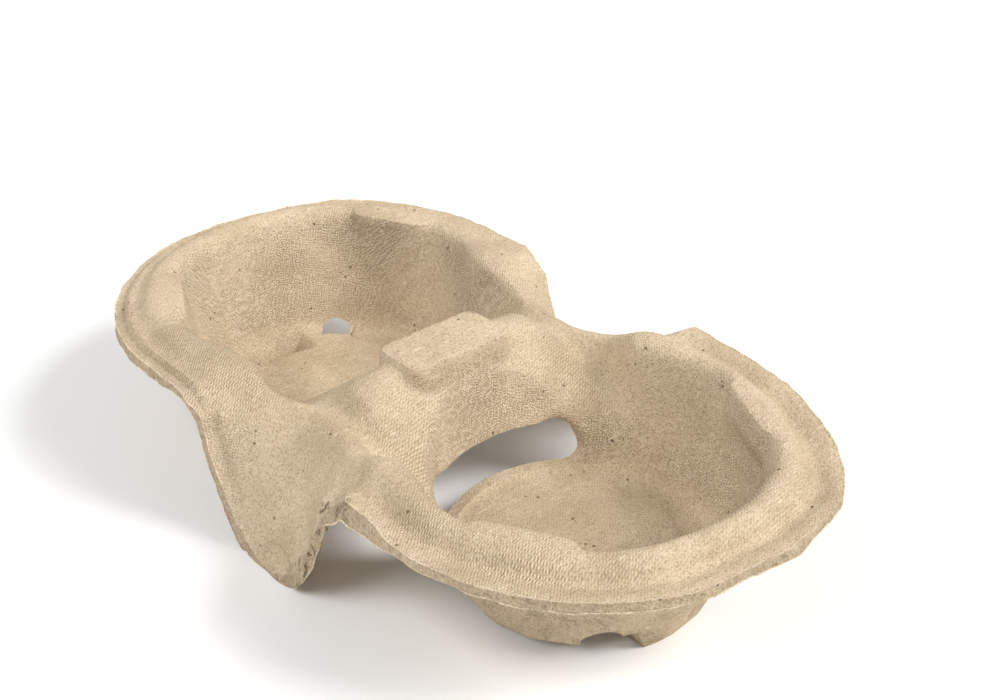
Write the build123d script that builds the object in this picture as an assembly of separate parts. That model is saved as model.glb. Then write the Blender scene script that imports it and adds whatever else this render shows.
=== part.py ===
from build123d import *
import os
from math import cos, radians, sin, tan

# A moulded pulp carrier: one sheet with two pockets, a rim all round with grip pads, a bridge
# between the pockets, a scooped foot at the middle of each long side, and an end leg and two
# lobes under each pocket.
# X runs from pocket to pocket, Z is up, and the origin is at the bottom centre.

# Driving dimensions in millimetres and degrees
wall = 2.4                  # thickness of the pulp sheet
height = 38.6               # ground to the crest of the rim
pocket_spacing = 93.5       # between the two pocket axes
rim_reach = 54.1            # pocket axis to the outer edge of the flange
flange_drop = 2.8           # crest down to the top of the flange
flange_width = 4.6          # flat outer band of the flange
slope_lean = 20.0           # lean of the slope between the crest and the flange
slope_pull = 0.55           # share of that slope's width that stays level at each end
crest_radius = 43.5         # pocket axis to the crest of the rim
crest_round = 5.0           # rounding of the crest into the pocket
pocket_draft = 19.0         # lean of the pocket wall
floor_rise = 5.0            # ground to the underside of the pocket floor
floor_round = 3.0           # rounding between the pocket floor and its wall

pad_angle = 62.0            # main grip pads, from the outward direction
pad_width = 24.0            # across the face of a pad
pad_reach = 37.0            # pocket axis to the inner face of a pad at its top
knuckle_angle = 107.0       # smaller lumps beside the dip of the rim
knuckle_width = 14.0
knuckle_reach = 38.8
pad_depth = 12.0            # from the face of a pad or a knuckle back into the rim
pad_rise = 1.4              # its inner edge stands this far over the crest
pad_lean = 10.0             # its face leans with the pocket wall
pad_round = 4.0             # rounding of its upright corners
pad_edge = 1.6              # and of its top edge

bridge_half_length = 14.6   # raised middle of the bridge, along Y
bridge_half_width = 7.6     # at its top, along X
bridge_draft = 9.0
bridge_round = 3.0          # rounding of its upright corners
bridge_rise = 1.7           # its top stands this far over the crest
bridge_step = 1.2           # from its top down to the saddle beside it
saddle_radius = 48.0        # sweep of the dip in each long side
saddle_knee = 26.0          # where the ridge starts to fall more steeply, along Y
saddle_knee_height = 37.2
saddle_reach = 38.5         # where the dip meets the side foot, along Y
saddle_height = 31.2        # ground to the lowest point of the dip
waist_half_length = 38.5    # mouth of the hollows beside the bridge, along Y
waist_gap = 5.0             # ridge left between those hollows at the crest, along X
waist_reach = 26.0          # mouth of the hollows, along X
waist_flank = 52.0          # lean of the ridge's flanks
waist_draft = 24.0          # lean of the hollows' end walls
waist_floor = 14.0          # where the hollows end inside the pockets
waist_corner = 0.35         # rounding of the hollows' corners, as a share of their length
foot_reach = 54.6           # where the face of the side foot meets the ground, along Y
foot_scoop = 26.0           # hollow radius of the side foot

leg_length = 5.2            # flat inside an end leg or a lobe, away from the pocket axis
leg_width = 11.0            # flat inside an end leg, along Y
leg_draft = 30.0            # lean of its flanks and of its inner face
leg_inset = 0.4             # its outer face stands this far inside the line of the pocket wall
lobe_angle = 65.0           # lobes under the pocket floor, from the outward direction
lobe_width = 17.0           # flat inside a lobe, across
lobe_rise = 4.4             # ground to the underside of a lobe
window_angle = 36.0         # small bottom windows beside the end legs
window_reach = 25.0         # pocket axis to the inner end of a window
window_width = 9.0
window_top = 9.6
arch_width = 45.0           # opening under the bridge, along Y
arch_top = 18.5
arch_round = 5.0
arch_kerb = 1.0             # wall left standing round the pocket floor

# Sizes that follow from those above
pocket_x = pocket_spacing / 2
floor_top = floor_rise + wall
flange_height = height - flange_drop
bridge_top = height + bridge_rise
slope_end = rim_reach - flange_width
leg_corner = min(leg_length, leg_width) / 2.5
below = -10.0               # the working blocks start under the ground
above = height + 30.0       # and the cutting tools end over the rim
spread = 6.0                # the under block stands out past the edge by this much


def at_pocket(side, radius=0.0, angle=0.0, z=0.0):
    """Place in a pocket's own polar frame, whose angle 0 points away from the bridge."""
    turn = angle if side > 0 else 180.0 - angle
    return Pos(side * pocket_x, 0, z) * Rot(0, 0, turn) * Pos(radius, 0, 0)


def rim_section(drop, reach):
    """Half section of the solid under the rim, in the XZ plane, `drop` below the top face."""
    crest = height - drop
    flange = flange_height - drop
    start = crest_radius
    end = slope_end - drop * tan(radians(slope_lean))
    pull = (end - start) * slope_pull
    inside = [(start, crest), (0, crest), (0, below)]
    outside = [(reach, below), (reach, flange), (end, flange)]
    outline = Polyline(*inside, *outside)
    slope = Bezier((end, flange), (end - pull, flange), (start + pull, crest), (start, crest))
    return Plane.XZ * make_face([outline, slope])


def rim_block(drop, reach):
    """Everything under the rim, before the pockets and the dips are taken out."""
    section = rim_section(drop, reach)
    end_cap = revolve(section, Axis.Z, 180)
    turned = Rot(0, 0, -90) * end_cap
    bar_section = Rot(0, 0, 90) * section
    bar_half = Pos(-pocket_x, 0, 0) * extrude(bar_section, dir=(1, 0, 0), amount=pocket_spacing)
    bar = bar_half + mirror(bar_half, Plane.XZ)
    body = bar + Pos(pocket_x, 0, 0) * turned
    return body + Pos(-pocket_x, 0, 0) * Rot(0, 0, 180) * turned


def pocket_tool(drop):
    """The space of one pocket about the Z axis, with its crest and floor corner rounded."""
    lean = radians(pocket_draft)
    crest_arc = crest_round - drop
    floor_arc = floor_round + drop
    crest_centre = Vector(crest_radius, height - crest_round)
    wall_drop = crest_centre.Y - floor_top - floor_round
    wall_run = (wall_drop * sin(lean) + crest_round + floor_round) / cos(lean)
    floor_centre = Vector(crest_radius - wall_run, floor_top + floor_round)
    inward = Vector(-cos(lean), sin(lean))
    halfway = Vector(-sin(radians(45 - pocket_draft / 2)), cos(radians(45 - pocket_draft / 2)))
    crest_point = crest_centre + Vector(0, crest_arc)
    wall_high = crest_centre + inward * crest_arc
    wall_low = floor_centre - inward * floor_arc
    floor_point = floor_centre - Vector(0, floor_arc)
    crest_curve = ThreePointArc(crest_point, crest_centre + halfway * crest_arc, wall_high)
    middle = radians((pocket_draft - 90) / 2)
    corner = floor_centre + Vector(cos(middle), sin(middle)) * floor_arc
    floor_curve = ThreePointArc(wall_low, corner, floor_point)
    outline = Polyline(floor_point, (0, floor_point.Y), (0, above), (crest_radius, above), crest_point)
    section = make_face([crest_curve, Line(wall_high, wall_low), floor_curve, outline])
    return revolve(Plane.XZ * section, Axis.Z)


def pads(drop):
    """Grip pads and knuckles of one pocket, left standing when the pocket is taken out."""
    shapes = []
    for angle, width, reach in (
        (pad_angle, pad_width, pad_reach),
        (knuckle_angle, knuckle_width, knuckle_reach),
    ):
        plan = RectangleRounded(pad_depth - 2 * drop, width - 2 * drop, pad_round - drop)
        column = extrude(plan, -height)
        column = fillet(column.edges().group_by(Axis.Z)[-1], pad_edge)
        for turn in (angle, -angle):
            top = Pos(reach, 0, height + pad_rise) * Rot(0, pad_lean, 0)
            shapes.append(Rot(0, 0, turn) * top * Pos(pad_depth / 2, 0, -drop) * column)
    return shapes


def waist_tool(drop):
    """The hollow between one pocket and the ridge of the bridge, towards +X."""
    flank = tan(radians(waist_flank))
    draft = tan(radians(waist_draft))
    sections = []
    for level in (waist_floor, height + crest_round):
        fall = height - level
        near = waist_gap / 2 + fall * flank - drop / cos(radians(waist_flank))
        far = waist_reach + fall * flank / 2
        half = waist_half_length - fall * draft + drop / cos(radians(waist_draft))
        plan = RectangleRounded(far - near, 2 * half, waist_corner * (far - near))
        sections.append(Pos((near + far) / 2, 0, level) * plan)
    return loft(sections, ruled=True)


def saddle_tool(drop):
    """The dip of one long side, beyond the raised middle of the bridge."""
    path = [
        Vector(0, bridge_half_length, bridge_top - bridge_step),
        Vector(0, saddle_knee, saddle_knee_height),
        Vector(0, saddle_reach, saddle_height),
    ]
    room = 4 * rim_reach
    block = Box(room, room, room, align=(Align.CENTER, Align.MIN, Align.CENTER))
    beyond = Pos(0, bridge_half_length - drop, 0) * block
    rollers = []
    for start, end in zip(path, path[1:]):
        along = (end - start).normalized()
        upward = Vector(0, -along.Z, along.Y)
        axis = Plane(origin=start + upward * saddle_radius, z_dir=along)
        rollers.append(axis * Cylinder(saddle_radius + drop, room) & beyond)
    return rollers[0] + rollers[1]


def scoop_tool(drop):
    """The hollow that makes the foot of one long side."""
    top = Vector(0, saddle_reach, saddle_height)
    ground = Vector(0, foot_reach, 0)
    along = (ground - top).normalized()
    outward = Vector(0, -along.Z, along.Y)
    axis = Plane(origin=ground + outward * foot_scoop, z_dir=along)
    return axis * Cylinder(foot_scoop + drop, 4 * height)


def wall_radius(level):
    """Pocket axis to the straight line of the pocket wall at a height."""
    lean = radians(pocket_draft)
    top = height - crest_round * (1 - sin(lean))
    return crest_radius - crest_round * cos(lean) - (top - level) * tan(lean)


def leg_tool(drop, width, ground):
    """The hollow of one end leg or lobe, about the pocket axis."""
    inner = wall_radius(ground + wall) - leg_inset - leg_length
    sections = []
    for rise in (0, floor_top + floor_round - ground):
        flare = drop + rise * tan(radians(leg_draft))
        length = crest_radius - inner + flare
        plan = RectangleRounded(length, width + 2 * flare, leg_corner + drop)
        sections.append(Pos(crest_radius - length / 2, 0, ground + wall - drop + rise) * plan)
    grown = drop / cos(radians(pocket_draft)) - leg_inset
    low = wall_radius(below) + grown
    high = wall_radius(height) + grown
    upright = (Align.CENTER, Align.CENTER, Align.MIN)
    return loft(sections, ruled=True) & Pos(0, 0, below) * Cone(low, high, height - below, align=upright)


def bridge_block(drop):
    """The raised middle of the bridge."""
    top = Rectangle(2 * (bridge_half_width - drop), 2 * (bridge_half_length - drop))
    rounded = fillet(top.vertices(), bridge_round)
    solid = extrude(rounded, bridge_top - below, taper=-bridge_draft)
    return Pos(0, 0, bridge_top - drop) * Rot(180, 0, 0) * solid


def mould_face(drop, reach):
    """The solid under one face of the sheet: the top face, or the underside one wall below."""
    pocket = pocket_tool(drop)
    for pad in pads(drop):
        pocket -= pad
    pocket += leg_tool(drop, leg_width, 0)
    for angle in (lobe_angle, -lobe_angle):
        pocket += Rot(0, 0, angle) * leg_tool(drop, lobe_width, lobe_rise)
    body = rim_block(drop, reach)
    for side in (1, -1):
        body -= at_pocket(side) * pocket
        body -= Rot(0, 0, 90 - 90 * side) * waist_tool(drop)
    body += bridge_block(drop) & Box(pocket_spacing, rim_reach, 4 * height)
    for across in (0, 180):
        body -= Rot(0, 0, across) * saddle_tool(drop)
        body -= Rot(0, 0, across) * scoop_tool(drop)
    return body


def window_tool(side, angle):
    """One small bottom window beside an end leg."""
    depth = crest_radius
    opening = SlotOverall(2 * window_top, window_width, rotation=90)
    block = extrude(Plane.YZ * opening, depth)
    return at_pocket(side, window_reach, angle) * block


def arch_tool():
    """The opening under the bridge, from pocket to pocket."""
    top = arch_top
    bottom = floor_top + arch_kerb
    opening = RectangleRounded(arch_width, top - bottom, min(arch_round, (top - bottom) / 2.2))
    length = pocket_spacing - crest_radius
    return Pos(-length / 2, 0, (top + bottom) / 2) * extrude(Plane.YZ * opening, length)


carrier = mould_face(0, rim_reach) - mould_face(wall, rim_reach + spread)
for side in (1, -1):
    for angle in (window_angle, -window_angle):
        carrier -= window_tool(side, angle)
carrier -= arch_tool()
room = 8 * rim_reach
carrier &= Box(room, room, room, align=(Align.CENTER, Align.CENTER, Align.MIN))

os.makedirs("parts", exist_ok=True)
export_step(carrier.solids()[0], "parts/cup_carrier.step")
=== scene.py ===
"""Looks of a moulded pulp carrier: the pulp sheet itself, its finish, and a plain studio stage."""

import math

import bmesh
import bpy
import numpy as np
from bpy.props import FloatProperty, FloatVectorProperty, IntProperty, PointerProperty
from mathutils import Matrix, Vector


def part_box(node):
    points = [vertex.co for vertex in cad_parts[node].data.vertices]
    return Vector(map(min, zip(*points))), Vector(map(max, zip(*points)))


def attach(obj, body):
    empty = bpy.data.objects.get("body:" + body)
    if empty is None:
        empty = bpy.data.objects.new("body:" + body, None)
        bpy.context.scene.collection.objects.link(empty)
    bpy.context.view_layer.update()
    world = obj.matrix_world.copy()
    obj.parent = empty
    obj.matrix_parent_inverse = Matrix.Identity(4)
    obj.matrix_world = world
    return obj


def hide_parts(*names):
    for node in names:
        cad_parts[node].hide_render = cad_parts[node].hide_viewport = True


bl_info = {
    "name": "Moulded pulp carrier",
    "version": (1, 0, 0),
    "blender": (4, 5, 0),
    "location": "3D View > Sidebar > Carrier",
    "description": "Builds the pulp sheet of a carrier with its finish, and a plain studio stage",
    "category": "Object",
}

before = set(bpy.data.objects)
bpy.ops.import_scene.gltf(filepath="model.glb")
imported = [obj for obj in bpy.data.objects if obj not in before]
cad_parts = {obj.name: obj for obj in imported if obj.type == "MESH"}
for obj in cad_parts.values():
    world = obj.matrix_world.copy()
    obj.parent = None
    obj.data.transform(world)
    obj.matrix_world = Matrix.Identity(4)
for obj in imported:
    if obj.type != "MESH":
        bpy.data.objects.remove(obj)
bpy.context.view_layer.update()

NODE = "cup_carrier"
BODY = "root"
MOST_TRIANGLES = 200000

# Plan of the solid: a stadium about two pocket axes. Turns are degrees about a pocket axis
node_low, node_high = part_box(NODE)
RIM_REACH = (node_high.y - node_low.y) / 2
POCKET_X = (node_high.x - node_low.x) / 2 - RIM_REACH
FLANGE_LOW = 0.0334
FLANGE_WALL = 0.0024
FOOT_TOP = 0.030
WINDOW_TURN = 36.0
PAD_TURN, PAD_REACH = 62.0, 0.0385

# Mesh of the sheet, its trimmed edge and the lip of fibres on that edge
GRID_DEPTH = 8
SHARP_ANGLE = math.radians(32.0)
CUT_INSET = 0.0006
LIP_INSET = 0.0014
LIP_ANGLE = math.radians(42.0)
ROD_TURNS = (90.0, 210.0, 330.0)
ROD_QUADS = ((0, 1, 4, 3), (1, 2, 5, 4), (2, 0, 3, 5))
TINY = 1e-9

# Marks of use: the oval on the near foot, the torn notch, the hollow of the rim and the swollen wall
MARK_CENTRE, MARK_HALF = (0.0036, 0.0043), (0.0068, 0.0026)
NOTCH_X, NOTCH_HALF = 0.020, 0.018
HOLLOW_INSET, HOLLOW_HALF = 0.0070, 0.0056
SWELL_TURN, SWELL_HALF = 46.0, 42.0

# Noises that shape the sheet: the length of their features, and the step from the seed
WAVES, WAVELETS = (0.030, 0), (0.014, 1)
LUMPS, CRUMBS = (0.0055, 2), (0.0026, 3)
TEARS, FRAYS = (0.0042, 4), (0.0017, 5)
LIP_FIBRES = (0.0023, 6)
NOTCH_TEARS = (0.0024, 7)
UNDER_LUMPS = (0.0045, 8)

# Marks of the forming screen: crossed waves on steep faces, rows of short ribs on level ones
WANDER_SCALE = 300.0
WAVE_WANDER, RIB_WANDER = 2.6, 1.1
WAVE_TURN = (0.35, 0.2, 0.6)
RIB_TURN = math.radians(-25.0)
RIB_SPACING = 2.05
RIB_LENGTH = 3.2
LEVEL_BAND = (0.40, 0.62)

# Noises of the finish: scale, detail and roughness
CLOUDS = (45.0, 4.0, 0.6)
PATCHES = (38.0, 2.0, 0.5)
GRAINS = (1250.0, 3.0, 0.65)
FLECKS = (2200.0, 2.0, 0.6)
FIBRES = (1300.0, 3.0, 0.6)
CRACKS = (520.0, 4.0, 0.7)
CUT_CRUMBS = (620.0, 4.0, 0.65)
SPECK_GROUPS = (130.0, 1.0, 0.5)
SPECK_SCALE = 330.0
FIBRE_STRETCH, FIBRE_TURN = (1.0, 0.22, 0.5), (0.3, 0.5, 0.9)

# Depths of the finish
CLOUD_DEPTH = 0.0012
FIBRE_DEPTH = 0.00022
GRAIN_DEPTH = 0.00038
PIT_DEPTH = 0.0003
CUT_DEPTH = 0.0012
CRACK_DEPTH = 0.0008

# Studio
WHITE = (1.0, 1.0, 1.0, 1.0)
FLOOR_COLOUR = (0.93, 0.93, 0.93, 1.0)
LIGHT_SIDE, LIGHT_AIM = 1.3, (0.0, 0.0, 0.02)
KEY_PLACE = (1.75, 1.35, 1.85)
FILL_PLACE = (-0.15, -1.66, 1.92)
CAMERA_PLACE = (0.2256, -0.1829, 0.2081)
CAMERA_TILT, CAMERA_TURN = math.radians(59.52), math.radians(48.29)
SENSOR_WIDTH = 36.0
NEAREST_SEEN = 0.01


class PulpSheetSizes(bpy.types.PropertyGroup):
    """Sizes of the pulp sheet's surface."""

    fineness: FloatProperty(
        name="Fineness", description="Share of the mesh grid that the sheet fills",
        default=0.80, min=0.1, max=0.99,
    )
    settle_rounds: IntProperty(
        name="Settling rounds", description="How far the folds of the sheet are rounded",
        default=60, min=0,
    )
    wave_height: FloatProperty(
        name="Wave height", description="Slow waves of the sheet",
        default=0.00035, unit="LENGTH", precision=5,
    )
    lump_height: FloatProperty(
        name="Lump height", description="Lumps of pulp under the skin",
        default=0.00016, unit="LENGTH", precision=5,
    )
    edge_tear: FloatProperty(
        name="Edge tear", description="Depth of the ragged free edge",
        default=0.0007, unit="LENGTH", precision=5,
    )
    burr_radius: FloatProperty(
        name="Burr", description="Thickness of the fibre lip on the cut edges",
        default=0.00022, unit="LENGTH", precision=5,
    )
    bend: FloatProperty(
        name="Bend", description="How far the front end of the rim is bent",
        default=0.0017, unit="LENGTH", precision=5,
    )
    ledge_depth: FloatProperty(
        name="Ledge", description="How far the trimmed edge and the rim's hollow lie below the sheet",
        default=0.0016, unit="LENGTH", precision=5,
    )
    cut_slant: FloatProperty(
        name="Cut slant", description="How far the cut face leans back at the left end",
        default=0.0007, unit="LENGTH", precision=5,
    )
    cut_lean: FloatProperty(
        name="Cut lean", description="How far the cut face leans back beside the notch",
        default=0.0020, unit="LENGTH", precision=5,
    )
    crest_depth: FloatProperty(
        name="Crest valley", description="Depth of the valley behind each side crest",
        default=0.0022, unit="LENGTH", precision=5,
    )
    side_swell: FloatProperty(
        name="Swell", description="How far one side of the front pocket sags outward",
        default=0.0026, unit="LENGTH", precision=5,
    )
    mark_depth: FloatProperty(
        name="Mark depth", description="Depth of the oval mark on the foot",
        default=0.00045, unit="LENGTH", precision=5,
    )
    seed: IntProperty(name="Seed", description="Picks the waves, lumps and tears", default=11, min=0)


class PulpFinish(bpy.types.PropertyGroup):
    """Colours and grain of the pulp."""

    pale: FloatVectorProperty(
        name="Pale pulp", description="Pale tan of the dry skin",
        subtype="COLOR", size=3, default=(0.62, 0.498, 0.345),
    )
    # Light pulp: real light fibres, and painted highlights on the ridges of the screen marks and on the lip
    light: FloatVectorProperty(
        name="Light pulp", description="Dry tops of the screen marks",
        subtype="COLOR", size=3, default=(0.85, 0.74, 0.58),
    )
    # Deep pulp: the browner patches, and on the cut faces partly painted shade
    deep: FloatVectorProperty(
        name="Deep pulp", description="Browner patches",
        subtype="COLOR", size=3, default=(0.475, 0.372, 0.245),
    )
    # Groove colour: real flecks, crumbs of the cut and the ring of the oval mark, and painted shade in the
    # grooves of the screen marks
    groove: FloatVectorProperty(
        name="Grooves", description="Grooves of the screen marks",
        subtype="COLOR", size=3, default=(0.25, 0.182, 0.100),
    )
    speck: FloatVectorProperty(
        name="Specks", description="Dark specks and pits",
        subtype="COLOR", size=3, default=(0.09, 0.065, 0.035),
    )
    weave_pitch: FloatProperty(
        name="Weave pitch", description="Pitch of the screen marks",
        default=0.00066, unit="LENGTH", precision=5,
    )
    weave_depth: FloatProperty(
        name="Weave depth", description="Depth of the screen marks",
        default=0.00028, unit="LENGTH", precision=5,
    )


class StageSizes(bpy.types.PropertyGroup):
    """Floor, light and camera of the studio."""

    floor_size: FloatProperty(name="Floor", description="Side of the floor", default=6.0, unit="LENGTH")
    key_power: FloatProperty(
        name="Key light", description="Power of the large soft light",
        default=92.0, unit="POWER",
    )
    fill_power: FloatProperty(
        name="Fill light", description="Power of the soft fill",
        default=41.0, unit="POWER",
    )
    sky: FloatProperty(name="Sky", description="Strength of the even white light all round", default=0.36)
    lens: FloatProperty(
        name="Lens", description="Focal length for a 36 mm sensor",
        default=51.14, unit="CAMERA",
    )


def smooth_step(values, low, high):
    """0 at low, 1 at high, and a smooth change between; low may be the larger one."""
    share = np.clip((values - low) / (high - low), 0.0, 1.0)
    return share * share * (3.0 - 2.0 * share)


def hump(values, middle, half):
    """1 at the middle, falling smoothly to 0 at half to each side."""
    return smooth_step(np.abs(values - middle), half, 0.0)


def lattice_value(cells, seed):
    """A fixed number from -1 to 1 for each whole-number cell."""
    parts = cells.astype(np.int64).astype(np.uint32)
    mixed = parts[:, 0] * np.uint32(374761393) + parts[:, 1] * np.uint32(668265263)
    mixed = mixed + parts[:, 2] * np.uint32(2246822519) + np.uint32(seed * 40503 + 977)
    mixed = (mixed ^ (mixed >> np.uint32(13))) * np.uint32(1274126177)
    mixed = (mixed ^ (mixed >> np.uint32(15))) * np.uint32(2654435761)
    mixed = mixed ^ (mixed >> np.uint32(16))
    return mixed.astype(np.float64) / 2147483648.0 - 1.0


def soft_noise(points, cell, seed):
    """Smooth noise from -1 to 1 whose features are about one cell long."""
    scaled = points / cell
    base = np.floor(scaled)
    part = scaled - base
    part = part * part * (3.0 - 2.0 * part)
    total = np.zeros(len(points))
    for dx in (0, 1):
        for dy in (0, 1):
            for dz in (0, 1):
                corner = lattice_value(base + (dx, dy, dz), seed)
                weight = part[:, 0] if dx else 1.0 - part[:, 0]
                weight = weight * (part[:, 1] if dy else 1.0 - part[:, 1])
                weight = weight * (part[:, 2] if dz else 1.0 - part[:, 2])
                total += corner * weight
    return total


def shape_noise(points, kind, seed):
    """One of the noises that shape the sheet."""
    cell, step = kind
    return soft_noise(points, cell, seed + step)


def rim_plan(points):
    """Distance in from the free edge of the rim, and the outward direction, in plan."""
    along = np.sign(points[:, 0]) * np.maximum(np.abs(points[:, 0]) - POCKET_X, 0.0)
    outward = np.stack([along, points[:, 1], np.zeros(len(points))], axis=1)
    reach = np.linalg.norm(outward, axis=1)
    outward /= np.maximum(reach, TINY)[:, None]
    return RIM_REACH - reach, outward


def settle(points, edges, share, rounds):
    """Rounds the folds of the sheet: each point moves towards the mean of its neighbours."""
    count = np.bincount(edges.ravel(), minlength=len(points)).astype(float)
    count = np.maximum(count, 1.0)[:, None]
    moved = points.copy()
    for _ in range(rounds):
        total = np.zeros_like(moved)
        for axis in range(3):
            total[:, axis] = np.bincount(edges[:, 0], moved[edges[:, 1], axis], len(points))
            total[:, axis] += np.bincount(edges[:, 1], moved[edges[:, 0], axis], len(points))
        moved += (total / count - moved) * share[:, None]
    return moved


def read_values(items, name, width=1, kind=float):
    """One property of a mesh's points, edges, faces or loops as an array."""
    values = np.zeros(len(items) * width, kind)
    items.foreach_get(name, values)
    return values.reshape(-1, width) if width > 1 else values


def place_points(mesh, points):
    """Moves a mesh's points to new places."""
    mesh.vertices.foreach_set("co", points.ravel())
    mesh.update()


def fold_share(points):
    """How much of each settling round a point takes: most on the saddle, little at free edges."""
    inset, _ = rim_plan(points)
    height = points[:, 2]
    inner = smooth_step(inset, 0.004, 0.009) * smooth_step(height, 0.015, 0.022)
    across = np.abs(points[:, 0])
    side = np.abs(points[:, 1])
    saddle = smooth_step(across, 0.044, 0.030) * smooth_step(side, 0.014, 0.022)
    turn = np.degrees(np.arctan2(side, across - POCKET_X))
    low = smooth_step(height, 0.003, 0.007) * smooth_step(height, 0.022, 0.016)
    low *= smooth_step(np.abs(turn - WINDOW_TURN), 9.0, 16.0) * smooth_step(across, 0.027, 0.033)
    reach = np.hypot(across - POCKET_X, side)
    pad = hump(turn, PAD_TURN, 30.0) * hump(reach, PAD_REACH, 0.006) * smooth_step(height, 0.030, 0.036)
    return 0.5 * inner * (0.04 + 0.96 * np.maximum(saddle, 0.04 * pad)) + 0.06 * low


def bend_front(points, amount):
    """Bends the front end of the rim: flatter at its tip, fuller beside it, drawn in on the far side."""
    inset, outward = rim_plan(points)
    turn = np.degrees(np.arctan2(points[:, 1], points[:, 0] - POCKET_X))
    drawn = smooth_step(turn, 44.0, 60.0) * smooth_step(turn, 105.0, 80.0)
    out = 0.9 * hump(turn, 28.0, 17.0) - 0.8 * hump(turn, -8.0, 16.0) - drawn
    held = smooth_step(inset, 0.020, 0.003) * smooth_step(points[:, 2], 0.012, 0.030)
    return points + outward * (amount * out * held * (points[:, 0] > 0))[:, None]


def press_rim(points, depth):
    """Lets the trimmed edge lie lower at the left end, and hollows the rim along its middle elsewhere."""
    inset, _ = rim_plan(points)
    across, height = np.abs(points[:, 0]), points[:, 2]
    foot = smooth_step(height, 0.034, 0.030) * smooth_step(across, 0.040, 0.034)
    away = inset * (1.0 + 0.8 * foot)
    left = smooth_step(points[:, 0], 0.006, -0.008)
    ledge = left * (1.0 - 0.85 * foot) * smooth_step(away, 0.0034, 0.0022)
    ledge *= smooth_step(points[:, 1], 0.040, 0.010)
    valley = 0.80 * left * foot * hump(away, 0.0042, 0.0034)
    valley += 0.95 * (1.0 - left) * (1.0 - foot) * hump(inset, HOLLOW_INSET, HOLLOW_HALF)
    amount = -depth * (ledge + valley) * (foot + (1.0 - foot) * smooth_step(height, FOOT_TOP, 0.033))
    amount *= smooth_step(height, 0.002, 0.006)
    outward = 0.89 * foot * np.sign(points[:, 1])
    upward = np.stack([np.zeros(len(points)), outward, 1.0 - 0.54 * foot], axis=1)
    return points + upward * amount[:, None]


def slant_cut(points, amount):
    """Leans the cut face back at the left end, so that its upper edge stands further in."""
    inset, outward = rim_plan(points)
    left = smooth_step(points[:, 0], -0.022, -0.046)
    upper = smooth_step(points[:, 2], FLANGE_LOW, FLANGE_LOW + FLANGE_WALL)
    return points - outward * (amount * left * upper * smooth_step(inset, 0.006, 0.0))[:, None]


def crest_valley(points, depth):
    """Presses a valley between the crest of each side and the bridge, so that the rim runs on as a roll."""
    across, side = np.abs(points[:, 0]), np.abs(points[:, 1])
    behind = 0.0356 + 0.0036 * smooth_step(across, 0.004, 0.026) - side
    zone = hump(behind, 0.0052, 0.0050) * smooth_step(across, 0.028, 0.016)
    moved = points.copy()
    moved[:, 2] -= depth * zone * smooth_step(points[:, 2], 0.018, 0.026)
    return moved


def lean_cut(points, normals, amount):
    """Leans the cut face far back beside the notch of the near foot, and hangs its lower edge down."""
    inset, outward = rim_plan(points)
    zone = smooth_step(points[:, 0], 0.020, 0.025) * smooth_step(points[:, 0], 0.050, 0.036)
    zone *= (points[:, 1] < 0.0) * smooth_step(points[:, 2], 0.016, 0.021)
    upper = smooth_step(normals[:, 2], -0.5, 0.5)
    moved = points - outward * (amount * zone * upper * smooth_step(inset, 0.007, 0.0))[:, None]
    moved[:, 2] -= 0.55 * amount * zone * (1.0 - upper) * smooth_step(inset, 0.004, 0.001)
    return moved


def swell_side(points, amount):
    """Swells the wall of the front pocket on its far side, where the sheet has sagged outward."""
    across = points[:, 0] - POCKET_X
    turn = np.degrees(np.arctan2(points[:, 1], across))
    reach = np.hypot(across, points[:, 1])
    zone = smooth_step(reach, 0.022, 0.029) * smooth_step(points[:, 2], FLANGE_LOW, FLANGE_LOW - 0.006)
    push = amount * zone * hump(turn, SWELL_TURN, SWELL_HALF)
    direction = np.stack([across, points[:, 1], np.zeros(len(points))], axis=1)
    return points + direction / np.maximum(reach, TINY)[:, None] * push[:, None]


def round_foot_tip(points):
    """Rounds the worn corner at the bottom of each side foot."""
    side = -np.sign(points[:, 1]) * points[:, 0]
    beyond = np.clip(side - 0.0055, 0.0, 0.0165)
    lift = np.where((np.abs(points[:, 1]) > 0.047) & (side < 0.022), 66.0 * beyond * beyond, 0.0)
    points[:, 2] = np.maximum(points[:, 2], lift)
    return points


def oval_mark(points):
    """Share of the shallow oval mark low on the near foot: 1 inside, 0 outside."""
    along = (points[:, 0] - MARK_CENTRE[0]) / MARK_HALF[0]
    up = (points[:, 2] - MARK_CENTRE[1]) / MARK_HALF[1]
    share = smooth_step(np.hypot(along, up), 1.1, 0.85)
    return share * (points[:, 1] < -0.045)


def cut_faces(mesh):
    """1 for the faces of the trimmed edge, 0 for the skin."""
    centre = read_values(mesh.polygons, "center", 3)
    facing = read_values(mesh.polygons, "normal", 3)
    inset, outward = rim_plan(centre)
    least = np.where(centre[:, 2] < FOOT_TOP, 0.97, 0.6)
    return ((inset < CUT_INSET) & ((facing * outward).sum(axis=1) > least)).astype(float)


def under_share(points, normals):
    """1 on the outer skin of the pocket walls below the rim, 0 elsewhere."""
    across = np.abs(points[:, 0]) - POCKET_X
    away = np.stack([np.sign(points[:, 0]) * across, points[:, 1]], axis=1)
    away /= np.maximum(np.linalg.norm(away, axis=1), TINY)[:, None]
    facing = (away * normals[:, :2]).sum(axis=1)
    return smooth_step(facing, 0.0, 0.4) * smooth_step(points[:, 2], 0.034, 0.031) * (across > -0.016)


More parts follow.
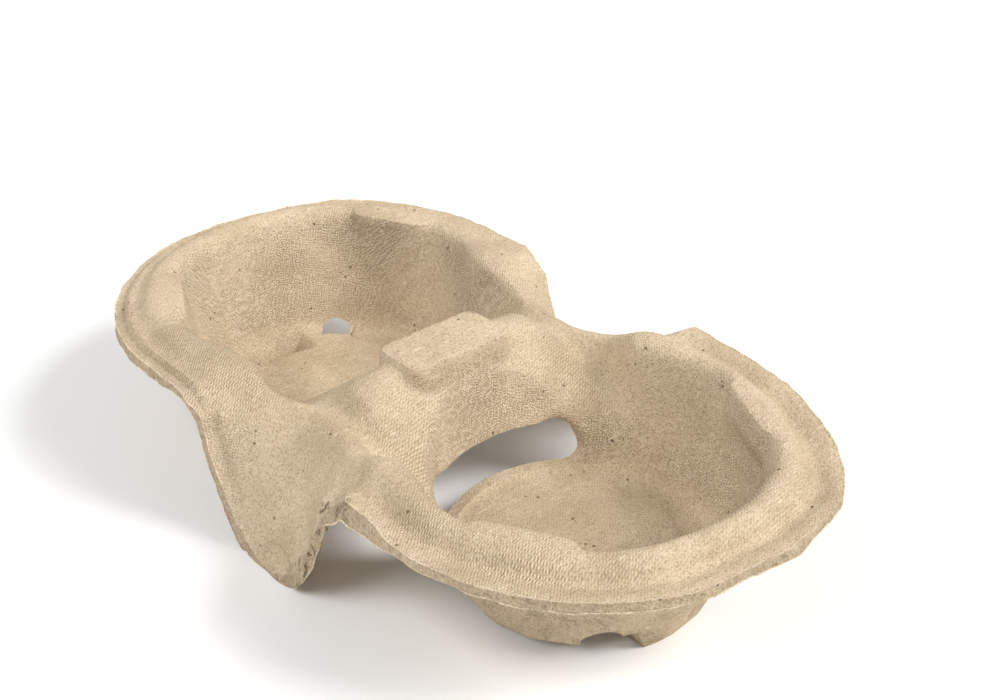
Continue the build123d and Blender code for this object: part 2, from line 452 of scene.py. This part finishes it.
def screen_share(points):
    """How clearly the forming screen shows: well on the rim, hardly on the middle of a foot."""
    across, side, height = np.abs(points[:, 0]), np.abs(points[:, 1]), points[:, 2]
    inset, _ = rim_plan(points)
    near = smooth_step(points[:, 0], 0.032, 0.050) * smooth_step(-points[:, 1], 0.010, 0.028)
    near *= 0.45 + 0.40 * hump(inset, HOLLOW_INSET, 0.0065)
    flank = smooth_step(points[:, 0], -0.060, -0.046) * smooth_step(-points[:, 1], 0.024, 0.032)
    flank *= smooth_step(points[:, 0], 0.004, -0.010)
    inner = smooth_step(inset, 0.009, 0.013) * smooth_step(height, 0.0392, 0.0365)
    inner *= smooth_step(height, 0.009, 0.014)
    clear = np.maximum(np.maximum(near, 0.62 * flank), 0.5 * inner)
    middle = smooth_step(points[:, 0], -0.016, -0.008) * smooth_step(across, 0.036, 0.028)
    worn = middle * smooth_step(side, 0.026, 0.034) * smooth_step(height, 0.038, 0.034)
    return (0.28 + 0.72 * clear) * (1.0 - 0.85 * worn)


def sharp_rods(mesh, points, inset, radius, seed):
    """Thin ragged rods along the cut edges: the lip of fibres that trimming leaves."""
    loop_edge = read_values(mesh.loops, "edge_index", kind=np.int64)
    loop_count = read_values(mesh.polygons, "loop_total", kind=np.int64)
    face_of_loop = np.repeat(np.arange(len(mesh.polygons)), loop_count)
    face_normal = read_values(mesh.polygons, "normal", 3)
    order = np.argsort(loop_edge, kind="stable")
    sorted_edge = loop_edge[order]
    first = np.flatnonzero(sorted_edge[:-1] == sorted_edge[1:])
    normal_a = face_normal[face_of_loop[order[first]]]
    normal_b = face_normal[face_of_loop[order[first + 1]]]
    ends = read_values(mesh.edges, "vertices", 2, np.int64)[sorted_edge[first]]
    near = (inset[ends] < LIP_INSET).all(axis=1) & (points[ends][:, :, 2] > 0.001).all(axis=1)
    keep = near & ((normal_a * normal_b).sum(axis=1) < math.cos(LIP_ANGLE))
    ends, normal = ends[keep], (normal_a + normal_b)[keep]
    start, stop = points[ends[:, 0]], points[ends[:, 1]]
    along = stop - start
    along /= np.maximum(np.linalg.norm(along, axis=1), TINY)[:, None]
    normal /= np.maximum(np.linalg.norm(normal, axis=1), TINY)[:, None]
    side = np.cross(along, normal)
    thick = radius * np.clip(0.65 + 1.1 * shape_noise(points, LIP_FIBRES, seed), 0.05, 1.4)
    corners = []
    for place, index in ((start, ends[:, 0]), (stop, ends[:, 1])):
        for turn in ROD_TURNS:
            reach = math.sin(math.radians(turn)) * normal + math.cos(math.radians(turn)) * side
            corners.append(place + reach * thick[index][:, None])
    rods = np.stack(corners, axis=1).reshape(-1, 3)
    base = np.arange(len(ends))[:, None] * 2 * len(ROD_TURNS)
    faces = np.concatenate([base + np.array(quad) for quad in ROD_QUADS])
    return rods, faces


def fine_blank(fineness):
    """A copy of the solid in an even, fine mesh."""
    blank = bpy.data.objects.new("pulp_blank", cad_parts[NODE].data.copy())
    bpy.context.scene.collection.objects.link(blank)
    remesh = blank.modifiers.new("grain", "REMESH")
    remesh.mode = "SHARP"
    remesh.octree_depth = GRID_DEPTH
    remesh.scale = fineness
    remesh.sharpness = 1.0
    graph = bpy.context.evaluated_depsgraph_get()
    mesh = bpy.data.meshes.new_from_object(blank.evaluated_get(graph))
    blank_mesh = blank.data
    bpy.data.objects.remove(blank)
    bpy.data.meshes.remove(blank_mesh)
    return mesh


def roughen(mesh, points, inset, sizes):
    """Pushes waves, lumps, the oval mark and torn spots into the skin, and gives the finish its shares."""
    normals = read_values(mesh.vertices, "normal", 3)
    under = under_share(points, normals)
    on_ground = smooth_step(points[:, 2], 0.0005, 0.004)
    mark = oval_mark(points) * (normals[:, 1] < -0.2)
    notch = hump(points[:, 0], NOTCH_X, NOTCH_HALF) * smooth_step(points[:, 1], -0.044, -0.050)
    torn = notch * smooth_step(inset, 0.0022, 0.0008) * on_ground
    waves = shape_noise(points, WAVES, sizes.seed) + 0.5 * shape_noise(points, WAVELETS, sizes.seed)
    lumps = shape_noise(points, LUMPS, sizes.seed) + 0.6 * shape_noise(points, CRUMBS, sizes.seed)
    push = (waves * sizes.wave_height + lumps * sizes.lump_height) * on_ground
    push -= mark * sizes.mark_depth
    push += torn * sizes.edge_tear * shape_noise(points, NOTCH_TEARS, sizes.seed)
    push += under * on_ground * sizes.lump_height * 1.6 * shape_noise(points, UNDER_LUMPS, sizes.seed)
    shares = {
        "screen": screen_share(points) * (1.0 - 0.7 * under),
        "torn": np.maximum(torn, 0.22 * under * smooth_step(points[:, 2], 0.030, 0.022)),
        "mark_ring": 4.0 * mark * (1.0 - mark),
    }
    return points + normals * push[:, None], shares


def fray_edge(points, inset, outward, sizes):
    """Draws the free edge back in ragged bites."""
    tear = 0.5 + 0.5 * shape_noise(points, TEARS, sizes.seed)
    tear = tear * 0.6 + 0.4 * (0.5 + 0.5 * shape_noise(points, FRAYS, sizes.seed))
    near_edge = smooth_step(inset, 0.0035, 0.0006)
    return points - outward * (tear * near_edge * sizes.edge_tear)[:, None]


def join_rods(mesh, rods, faces):
    """Adds the rods of the lip to the sheet's mesh, after its own points and faces."""
    lip = bpy.data.meshes.new("pulp_lip")
    lip.from_pydata(rods.tolist(), [], faces.tolist())
    both = bmesh.new()
    both.from_mesh(mesh)
    both.from_mesh(lip)
    both.to_mesh(mesh)
    both.free()
    bpy.data.meshes.remove(lip)


def keep_values(mesh, name, domain, sheet_values, rod_values):
    """Keeps one value per point or face, the sheet's own first and then those of the rods."""
    values = np.concatenate([sheet_values, rod_values])
    mesh.attributes.new(name, "FLOAT", domain).data.foreach_set("value", values)


def mould_mesh(sizes):
    """The pulp sheet: the solid's own form, with rounded folds, slow waves, lumps and torn edges."""
    mesh = fine_blank(sizes.fineness)
    points = read_values(mesh.vertices, "co", 3)
    edges = read_values(mesh.edges, "vertices", 2, np.int64)
    points = settle(points, edges, fold_share(points), sizes.settle_rounds)
    inset, outward = rim_plan(points)
    cut = cut_faces(mesh)
    normals = read_values(mesh.vertices, "normal", 3)
    points = press_rim(round_foot_tip(points), sizes.ledge_depth)
    points = lean_cut(slant_cut(points, sizes.cut_slant), normals, sizes.cut_lean)
    points = swell_side(crest_valley(points, sizes.crest_depth), sizes.side_swell)
    place_points(mesh, points)
    points, shares = roughen(mesh, points, inset, sizes)
    points = bend_front(fray_edge(points, inset, outward, sizes), sizes.bend)
    place_points(mesh, points)

    rods, rod_faces = sharp_rods(mesh, points, inset, sizes.burr_radius, sizes.seed)
    join_rods(mesh, rods, rod_faces)
    points = np.clip(np.concatenate([points, rods]), np.array(node_low), np.array(node_high))
    mesh.vertices.foreach_set("co", points.ravel())
    mesh.polygons.foreach_set("use_smooth", np.ones(len(mesh.polygons), bool))
    mesh.set_sharp_from_angle(angle=SHARP_ANGLE)
    keep_values(mesh, "lip", "FACE", np.zeros(len(cut)), np.ones(len(rod_faces)))
    keep_values(mesh, "cut_face", "FACE", cut, np.zeros(len(rod_faces)))
    for name, values in shares.items():
        keep_values(mesh, name, "POINT", values, np.zeros(len(rods)))
    mesh.update()
    mesh.calc_loop_triangles()
    if len(mesh.loop_triangles) >= MOST_TRIANGLES:
        raise RuntimeError(f"the pulp sheet has {len(mesh.loop_triangles)} triangles")
    return mesh


class Finish:
    """Small helper that adds nodes to one material and links them."""

    def __init__(self, name):
        self.material = bpy.data.materials.new(name)
        self.material.use_nodes = True
        self.nodes = self.material.node_tree.nodes
        self.links = self.material.node_tree.links
        self.shader = self.nodes["Principled BSDF"]

    def put(self, socket, value):
        """Links a socket into an input, or sets the input to a plain value."""
        if isinstance(value, bpy.types.NodeSocket):
            self.links.new(value, socket)
        else:
            socket.default_value = value

    def add(self, kind, inputs=None, **settings):
        """A new node with its settings and inputs."""
        node = self.nodes.new(kind)
        for name, value in settings.items():
            setattr(node, name, value)
        for key, value in (inputs or {}).items():
            self.put(node.inputs[key], value)
        return node

    def kept(self, name):
        """A value that the mesh keeps."""
        return self.add("ShaderNodeAttribute", attribute_name=name).outputs["Fac"]

    def maths(self, operation, first, second=0.0, third=0.0, clamp=False):
        """One sum."""
        inputs = {0: first, 1: second, 2: third}
        return self.add("ShaderNodeMath", inputs, operation=operation, use_clamp=clamp).outputs[0]

    def times(self, first, second):
        """Two values multiplied."""
        return self.maths("MULTIPLY", first, second)

    def rest(self, share):
        """What is left of 1."""
        return self.maths("SUBTRACT", 1.0, share)

    def vector(self, operation, first, inputs):
        """One sum of vectors."""
        return self.add("ShaderNodeVectorMath", {0: first, **inputs}, operation=operation).outputs[0]

    def mapped(self, place, turn, scale):
        """Places turned and scaled."""
        inputs = {"Vector": place, "Rotation": turn, "Scale": scale}
        return self.add("ShaderNodeMapping", inputs).outputs[0]

    def split(self, vector):
        """The three parts of a vector."""
        return self.add("ShaderNodeSeparateXYZ", {0: vector}).outputs

    def noise(self, place, scale, detail, roughness, output="Fac"):
        """Noise at each place."""
        inputs = {"Vector": place, "Scale": scale, "Detail": detail, "Roughness": roughness}
        return self.add("ShaderNodeTexNoise", inputs).outputs[output]

    def band(self, value, low, high):
        """0 at low, 1 at high, and a smooth change between."""
        inputs = {"Value": value, "From Min": low, "From Max": high}
        return self.add("ShaderNodeMapRange", inputs, interpolation_type="SMOOTHSTEP").outputs[0]

    def shift(self, place, wander, reach):
        """Places moved about by a noise colour."""
        half = self.vector("SUBTRACT", wander, {1: (0.5, 0.5, 0.5)})
        return self.vector("ADD", place, {1: self.vector("SCALE", half, {"Scale": reach})})

    def blend(self, share, first, second):
        """The first colour, with a share of the second."""
        node = self.add("ShaderNodeMix", {0: share}, data_type="RGBA")
        for key, colour in ((6, first), (7, second)):
            plain = not isinstance(colour, bpy.types.NodeSocket)
            self.put(node.inputs[key], (*colour, 1.0) if plain else colour)
        return node.outputs[2]

    def bump(self, height, depth, normal=None):
        """The normal, bent by a height."""
        inputs = {"Height": height, "Distance": depth, "Strength": 1.0}
        if normal is not None:
            inputs["Normal"] = normal
        return self.add("ShaderNodeBump", inputs).outputs[0]

    def matte(self, roughness, shine):
        """Sets how dull the surface is."""
        self.shader.inputs["Roughness"].default_value = roughness
        self.shader.inputs["Specular IOR Level"].default_value = shine


def screen_weave(finish, place, pitch):
    """Marks of the forming screen: rows of short ribs on level faces, crossed waves on steep ones."""
    wander = finish.noise(place, WANDER_SCALE, 2.0, 0.5, "Color")
    turned = finish.shift(place, wander, pitch * WAVE_WANDER)
    axes = finish.split(finish.mapped(turned, WAVE_TURN, (2 * math.pi / pitch,) * 3))
    total = None
    for key in range(3):
        wave = finish.maths("SINE", axes[key])
        cross = finish.maths("COSINE", axes[(key + 1) % 3])
        product = finish.times(wave, cross)
        total = product if total is None else finish.maths("ADD", total, product)
    crossed = finish.maths("ADD", finish.times(total, 0.33), 0.5, clamp=True)
    laid = finish.shift(place, wander, pitch * RIB_WANDER)
    plan = finish.split(finish.mapped(laid, (0.0, 0.0, RIB_TURN), (math.pi / pitch,) * 3))
    rows = finish.maths("COSINE", finish.times(plan[0], RIB_SPACING))
    ends = finish.maths("COSINE", finish.times(plan[1], RIB_SPACING / RIB_LENGTH))
    ribs = finish.maths("MULTIPLY_ADD", finish.times(rows, ends), 0.33, 0.45)
    facing = finish.split(finish.add("ShaderNodeNewGeometry").outputs["True Normal"])
    level = finish.band(facing[2], *LEVEL_BAND)
    return finish.maths("MULTIPLY_ADD", ribs, level, finish.times(crossed, finish.rest(level)))


def pulp_material(look):
    """Matte tan pulp with screen marks, fibres, specks, pits and cracks, with painted shade in the screen
    grooves and partly on the cut faces, and painted highlights on the screen ridges and the lip.
    """
    finish = Finish("moulded_pulp")
    place = finish.add("ShaderNodeTexCoord").outputs["Object"]
    drawn = finish.mapped(place, FIBRE_TURN, FIBRE_STRETCH)
    marks = screen_weave(finish, place, look.weave_pitch)
    cut = finish.kept("cut_face")
    patch = finish.band(finish.noise(place, *PATCHES), 0.34, 0.60)
    patch = finish.times(finish.maths("MULTIPLY_ADD", patch, 0.6, 0.4), finish.kept("screen"))
    patch = finish.times(patch, finish.rest(cut))
    cloud = finish.noise(place, *CLOUDS)
    grain = finish.noise(place, *GRAINS)
    fibre = finish.noise(drawn, *FIBRES)
    fleck = finish.band(finish.noise(place, *FLECKS), 0.46, 0.66)
    crumbs = finish.noise(place, *CUT_CRUMBS)
    worn = finish.times(finish.band(crumbs, 0.50, 0.64), cut)
    crack = finish.times(finish.band(finish.noise(drawn, *CRACKS), 0.54, 0.62), finish.kept("torn"))
    spots = finish.add("ShaderNodeTexVoronoi", {"Vector": place, "Scale": SPECK_SCALE}).outputs["Distance"]
    groups = finish.band(finish.noise(place, *SPECK_GROUPS), 0.57, 0.63)
    speck = finish.times(finish.band(spots, 0.15, 0.06), groups)
    # Painted shade: the grooves of the screen marks darkened where their shading would fall
    low = finish.times(finish.band(marks, 0.60, 0.24), patch)
    low = finish.times(low, finish.maths("MULTIPLY_ADD", finish.band(grain, 0.30, 0.60), 0.6, 0.3))
    # Painted highlight on the ridges of the screen marks
    ridge_highlight = finish.times(finish.band(marks, 0.56, 0.80), patch)

    # Each layer of colour over the one before: where it lies, how strongly, and its tone
    tone = finish.blend(finish.band(cloud, 0.35, 0.68), tuple(look.pale), tuple(look.deep))
    for share, strength, colour in (
        # cut faces darker: partly the rougher cut fibres, partly painted shade of the upright cut face
        (cut, 0.6, look.deep),
        # painted highlight: the lip of fibres lightened as if catching the light
        (finish.kept("lip"), 0.3, look.light),
        (finish.kept("mark_ring"), 0.35, look.groove),
        (fleck, 0.60, look.groove),
        (worn, 0.55, look.groove),
        (crack, 0.75, look.speck),
        (finish.band(fibre, 0.55, 0.75), 0.4, look.light),
        # painted shade in the grooves of the screen marks
        (low, 1.0, look.groove),
        # painted highlight on the ridges of the screen marks
        (ridge_highlight, 0.6, look.light),
        (speck, 0.75, look.speck),
    ):
        tone = finish.blend(finish.times(share, strength), tone, tuple(colour))
    finish.put(finish.shader.inputs["Base Color"], tone)

    normal = None
    for height, depth in (
        (cloud, CLOUD_DEPTH),
        (finish.times(marks, patch), look.weave_depth),
        (fibre, FIBRE_DEPTH),
        (grain, GRAIN_DEPTH),
        (finish.rest(speck), PIT_DEPTH),
        (finish.times(crumbs, cut), CUT_DEPTH),
        (finish.rest(crack), CRACK_DEPTH),
    ):
        normal = finish.bump(height, depth, normal)
    finish.put(finish.shader.inputs["Normal"], normal)
    finish.matte(0.94, 0.18)
    return finish.material


class CARRIER_OT_mould_sheet(bpy.types.Operator):
    """Moulds the pulp sheet over the solid and gives it its finish"""

    bl_idname = "carrier.mould_sheet"
    bl_label = "Mould the pulp sheet"

    def execute(self, context):
        mesh = mould_mesh(context.scene.pulp_sheet)
        mesh.materials.clear()
        mesh.materials.append(pulp_material(context.scene.pulp_finish))
        sheet = bpy.data.objects.new("pulp_sheet", mesh)
        context.scene.collection.objects.link(sheet)
        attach(sheet, BODY)
        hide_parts(NODE)
        return {"FINISHED"}


def floor_material():
    """Pale matte floor."""
    finish = Finish("studio_floor")
    finish.put(finish.shader.inputs["Base Color"], FLOOR_COLOUR)
    finish.matte(0.9, 0.1)
    return finish.material


def studio_world(strength):
    """White behind the object, and a gentler even light on it."""
    world = bpy.data.worlds.new("studio")
    world.use_nodes = True
    nodes = world.node_tree.nodes
    links = world.node_tree.links
    nodes.clear()
    paths = nodes.new("ShaderNodeLightPath")
    seen = paths.outputs["Is Camera Ray"]
    for name in ("Is Glossy Ray", "Is Transmission Ray"):
        either = nodes.new("ShaderNodeMath")
        either.operation = "MAXIMUM"
        links.new(seen, either.inputs[0])
        links.new(paths.outputs[name], either.inputs[1])
        seen = either.outputs[0]
    mix = nodes.new("ShaderNodeMixShader")
    links.new(seen, mix.inputs[0])
    for key, power in ((1, strength), (2, 1.0)):
        even = nodes.new("ShaderNodeBackground")
        even.inputs["Color"].default_value = WHITE
        even.inputs["Strength"].default_value = power
        links.new(even.outputs[0], mix.inputs[key])
    output = nodes.new("ShaderNodeOutputWorld")
    links.new(mix.outputs[0], output.inputs[0])
    return world


def soft_light(name, place, power):
    """A large square light that looks at the object."""
    light = bpy.data.lights.new(name, "AREA")
    light.shape = "SQUARE"
    light.size = LIGHT_SIDE
    light.energy = power
    lamp = bpy.data.objects.new(name, light)
    lamp.location = place
    direction = np.array(LIGHT_AIM) - np.array(place)
    flat = math.hypot(direction[0], direction[1])
    lamp.rotation_euler = (math.atan2(flat, -direction[2]), 0.0, math.atan2(-direction[0], direction[1]))
    bpy.context.scene.collection.objects.link(lamp)


class CARRIER_OT_set_stage(bpy.types.Operator):
    """Sets the floor, the soft light and the camera"""

    bl_idname = "carrier.set_stage"
    bl_label = "Set the stage"

    def execute(self, context):
        scene = context.scene
        stage = scene.studio_stage
        half = stage.floor_size / 2
        mesh = bpy.data.meshes.new("floor")
        corners = [(-half, -half, 0.0), (half, -half, 0.0), (half, half, 0.0), (-half, half, 0.0)]
        mesh.from_pydata(corners, [], [(0, 1, 2, 3)])
        mesh.materials.append(floor_material())
        floor = bpy.data.objects.new("floor", mesh)
        scene.collection.objects.link(floor)
        scene.world = studio_world(stage.sky)
        soft_light("key_light", KEY_PLACE, stage.key_power)
        soft_light("fill_light", FILL_PLACE, stage.fill_power)
        camera = bpy.data.cameras.new("camera")
        camera.sensor_width = SENSOR_WIDTH
        camera.lens = stage.lens
        camera.clip_start = NEAREST_SEEN
        view = bpy.data.objects.new("camera", camera)
        view.location = CAMERA_PLACE
        view.rotation_euler = (CAMERA_TILT, 0.0, CAMERA_TURN)
        scene.collection.objects.link(view)
        scene.camera = view
        scene.view_settings.view_transform = "Standard"
        return {"FINISHED"}


class CARRIER_PT_panel(bpy.types.Panel):
    """Lists the steps and the sizes in the sidebar"""

    bl_idname = "CARRIER_PT_panel"
    bl_label = "Carrier"
    bl_space_type = "VIEW_3D"
    bl_region_type = "UI"
    bl_category = "Carrier"

    def draw(self, context):
        layout = self.layout
        for step in STEPS:
            layout.operator(step.bl_idname)
        for group in (context.scene.pulp_sheet, context.scene.pulp_finish, context.scene.studio_stage):
            box = layout.box()
            for name in group.__annotations__:
                box.prop(group, name)


GROUPS = {"pulp_sheet": PulpSheetSizes, "pulp_finish": PulpFinish, "studio_stage": StageSizes}
STEPS = (CARRIER_OT_mould_sheet, CARRIER_OT_set_stage)
CLASSES = (*GROUPS.values(), *STEPS, CARRIER_PT_panel)


def register():
    """Adds the classes and their settings to the scene."""
    for item in CLASSES:
        bpy.utils.register_class(item)
    for name, group in GROUPS.items():
        setattr(bpy.types.Scene, name, PointerProperty(type=group))


def unregister():
    """Takes the settings and the classes away again."""
    for name in GROUPS:
        delattr(bpy.types.Scene, name)
    for item in reversed(CLASSES):
        bpy.utils.unregister_class(item)


def main():
    """Builds the sheet and the stage."""
    register()
    bpy.ops.carrier.mould_sheet()
    bpy.ops.carrier.set_stage()


if __name__ == "__main__":
    main()
